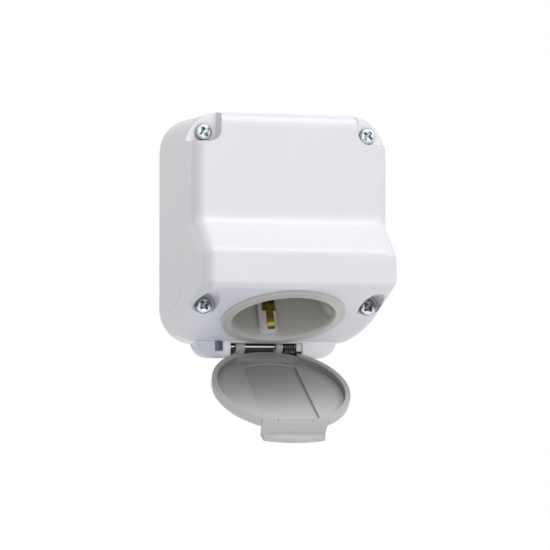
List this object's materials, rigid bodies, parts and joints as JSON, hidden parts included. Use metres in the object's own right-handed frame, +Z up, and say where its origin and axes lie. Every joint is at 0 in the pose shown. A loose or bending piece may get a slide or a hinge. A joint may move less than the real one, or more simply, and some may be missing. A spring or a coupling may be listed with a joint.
{
  "type": "outdoor weatherproof socket",
  "caption": "Wall-mounted outdoor socket: white moulded box whose leaning front holds a round recess facing down, with side earth clips and a sprung round lid hinged at the wall side.",
  "frame": {"origin": "middle of the box's back, on the wall", "axes": "+X to the right seen from the front, +Y into the wall, +Z up"},
  "size_m": [0.0834, 0.0595, 0.1302],
  "materials": {
    "white_plastic": "fine satin moulding",
    "grey_plastic": "satin moulding",
    "grey_lid": "satin moulding",
    "black_rubber": "matte",
    "grey_rubber": "matte",
    "zinc_steel": "zinc plated",
    "bright_steel": "drawn wire",
    "brass": "stamped"
  },
  "bodies": {
    "housing": {"back_box": "white_plastic", "front_cover": "white_plastic", "cover_gasket": "black_rubber", "cover_screws": "zinc_steel", "screw_seals": "black_rubber", "cable_grommet": "grey_rubber", "socket_insert": "grey_plastic", "collar_seal": "black_rubber", "insert_ring_nut": "grey_plastic", "line_contact": "brass", "neutral_contact": "brass", "line_clamp": "brass", "neutral_clamp": "brass", "earth_clamp": "brass", "terminal_screws": "zinc_steel", "earth_bracket": "brass", "contact_carrier": "grey_plastic", "carrier_screws": "zinc_steel", "hinge_pin": "bright_steel", "lid_spring": "bright_steel"},
    "lid": {"lid": "grey_lid"}
  },
  "joints": [
    {"name": "lid_hinge", "type": "hinge", "parent": "housing", "child": "lid", "pos_m": [0, -0.007, -0.0463], "axis": [1, 0, 0], "range_deg": [-54.5, 47], "stiffness_Nm_per_rad": 0.008, "springref_deg": -8.59, "deforming": ["lid_spring"]}
  ]
}
